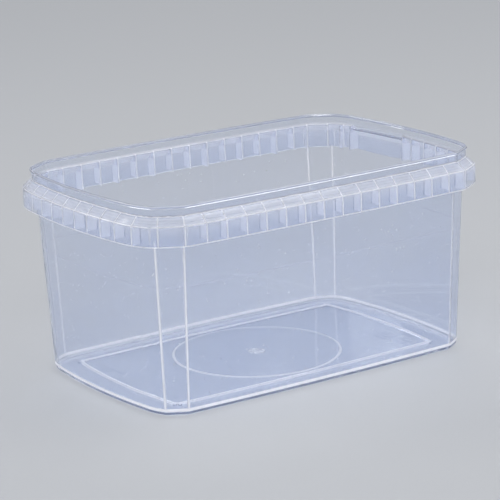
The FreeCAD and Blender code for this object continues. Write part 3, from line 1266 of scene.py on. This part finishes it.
@dataclass(frozen=True)
class StudioSizes:
    """Floor, world and lamps.

    Attributes:
        floor_radius: Radius of the floor.
        floor_sides: Number of its sides.
        floor_drop: How far it lies below the tub.
        floor_colour: Its colour.
        paper_dark: What the colour keeps in its darker grain.
        paper_grain: Noise of that grain.
        paper_gloss: Its roughness.
        paper_shine: Its specular level.
        world_colour: Colour of the even light.
        world_strength: Strength of the even light.
        lamps: The soft lamps.
    """

    floor_radius: float = 4.0
    floor_sides: int = 96
    floor_drop: float = 0.0002
    floor_colour: Colour = (0.48, 0.49, 0.51)
    paper_dark: float = 0.985
    paper_grain: Grain = Grain(900.0, 2.0, 0.3, 0.7)
    paper_gloss: float = 0.7
    paper_shine: float = 0.2
    world_colour: Colour = (0.92, 0.95, 1.0)
    world_strength: float = 0.40
    lamps: tuple[Softbox, ...] = (
        Softbox("lamp_key", (-0.80, -1.15, 1.00), (0.0, 0.0, 0.05), 0.6, 0.5, 10.0),
        Softbox("lamp_fill", (1.30, -0.72, 0.85), (0.0, 0.0, 0.05), 1.2, 1.0, 6.6),
        Softbox("lamp_top", (0.35, 0.10, 1.20), (0.0, 0.0, 0.05), 0.8, 0.6, 3.6),
        Softbox("lamp_back", (-0.95, 0.95, 0.80), (0.0, 0.0, 0.05), 0.6, 0.7, 5.0),
        Softbox("lamp_far", (1.40, 2.10, 1.90), (0.9, 1.3, 0.0), 1.6, 1.6, 22.0),
    )


class Studio:
    """Pale floor, even world and soft lamps."""

    def __init__(self, sizes: StudioSizes) -> None:
        """Keep the sizes."""
        self.sizes = sizes

    def build(self) -> None:
        """Add the floor, the world and the lamps."""
        self._floor()
        self._world()
        for lamp in self.sizes.lamps:
            self._lamp(lamp)

    def _floor(self) -> None:
        """Add the floor as a wide disc."""
        sizes = self.sizes
        turns = [2 * math.pi * i / sizes.floor_sides for i in range(sizes.floor_sides)]
        ring = [
            (sizes.floor_radius * math.cos(t), sizes.floor_radius * math.sin(t), -sizes.floor_drop)
            for t in turns
        ]
        mesh = bpy.data.meshes.new("floor")
        mesh.from_pydata(ring, [], [tuple(range(sizes.floor_sides))])
        mesh.materials.append(self._paper())
        floor = bpy.data.objects.new("floor", mesh)
        bpy.context.scene.collection.objects.link(floor)

    def _paper(self) -> bpy.types.Material:
        """Make the floor's material.

        Returns:
            The new material.
        """
        sizes = self.sizes
        material = bpy.data.materials.new("floor_paper")
        material.use_nodes = True
        nodes = Nodes(material.node_tree)
        paper = nodes.add("ShaderNodeBsdfPrincipled")
        place = nodes.add("ShaderNodeTexCoord").outputs["Object"]
        tone = nodes.add("ShaderNodeMix", data_type="RGBA")
        nodes.plug(tone.inputs["Factor"], nodes.grain(place, sizes.paper_grain))
        dark = (sizes.paper_dark * part for part in sizes.floor_colour)
        tone.inputs["A"].default_value = (*dark, 1.0)
        tone.inputs["B"].default_value = (*sizes.floor_colour, 1.0)
        nodes.plug(paper.inputs["Base Color"], tone.outputs["Result"])
        paper.inputs["Roughness"].default_value = sizes.paper_gloss
        paper.inputs["Specular IOR Level"].default_value = sizes.paper_shine
        out = nodes.add("ShaderNodeOutputMaterial")
        nodes.plug(out.inputs["Surface"], paper.outputs[0])
        return material

    def _world(self) -> None:
        """Light the scene evenly from all round."""
        world = bpy.data.worlds.new("studio")
        bpy.context.scene.world = world
        world.use_nodes = True
        nodes = Nodes(world.node_tree)
        sky = nodes.add("ShaderNodeBackground")
        sky.inputs["Color"].default_value = (*self.sizes.world_colour, 1.0)
        sky.inputs["Strength"].default_value = self.sizes.world_strength
        out = nodes.add("ShaderNodeOutputWorld")
        nodes.plug(out.inputs["Surface"], sky.outputs[0])

    def _lamp(self, lamp: Softbox) -> None:
        """Add one soft lamp.

        Args:
            lamp: The lamp to add.
        """
        data = bpy.data.lights.new(lamp.name, "AREA")
        data.shape = "RECTANGLE"
        data.size = lamp.width
        data.size_y = lamp.height
        data.energy = lamp.watts
        data.color = lamp.colour
        item = bpy.data.objects.new(lamp.name, data)
        bpy.context.scene.collection.objects.link(item)
        place = Vector(lamp.place)
        item.location = place
        item.rotation_euler = (place - Vector(lamp.aim)).to_track_quat("Z", "Y").to_euler()


class Tub:
    """The tub itself, as packed, with its real material."""

    def __init__(self, node: bpy.types.Object, sizes: TubSizes, finish: PlasticFinish) -> None:
        """Keep the node."""
        self.node = node
        self.plastic = TubPlastic(sizes, finish)

    def dress(self) -> None:
        """Give the node its material."""
        material = self.plastic.build()
        for slot in self.node.material_slots:
            slot.material = material


def main() -> None:
    """Build the scene in order."""
    logging.basicConfig(level=logging.INFO, format="%(name)s: %(message)s")
    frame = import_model()
    scene = bpy.context.scene
    scene.view_settings.view_transform = "Standard"
    scene.cycles.transparent_max_bounces = 2 * BOUNCES
    scene.cycles.max_bounces = BOUNCES
    scene.cycles.transmission_bounces = BOUNCES
    sizes = TubSizes()
    LOG.info("tub")
    Tub(frame["nodes"]["tub"], sizes, PlasticFinish()).dress()
    LOG.info("studio")
    Studio(StudioSizes()).build()
    LOG.info("camera")
    Camera(View()).build()
    bpy.context.view_layer.update()


if __name__ == "__main__":
    main()
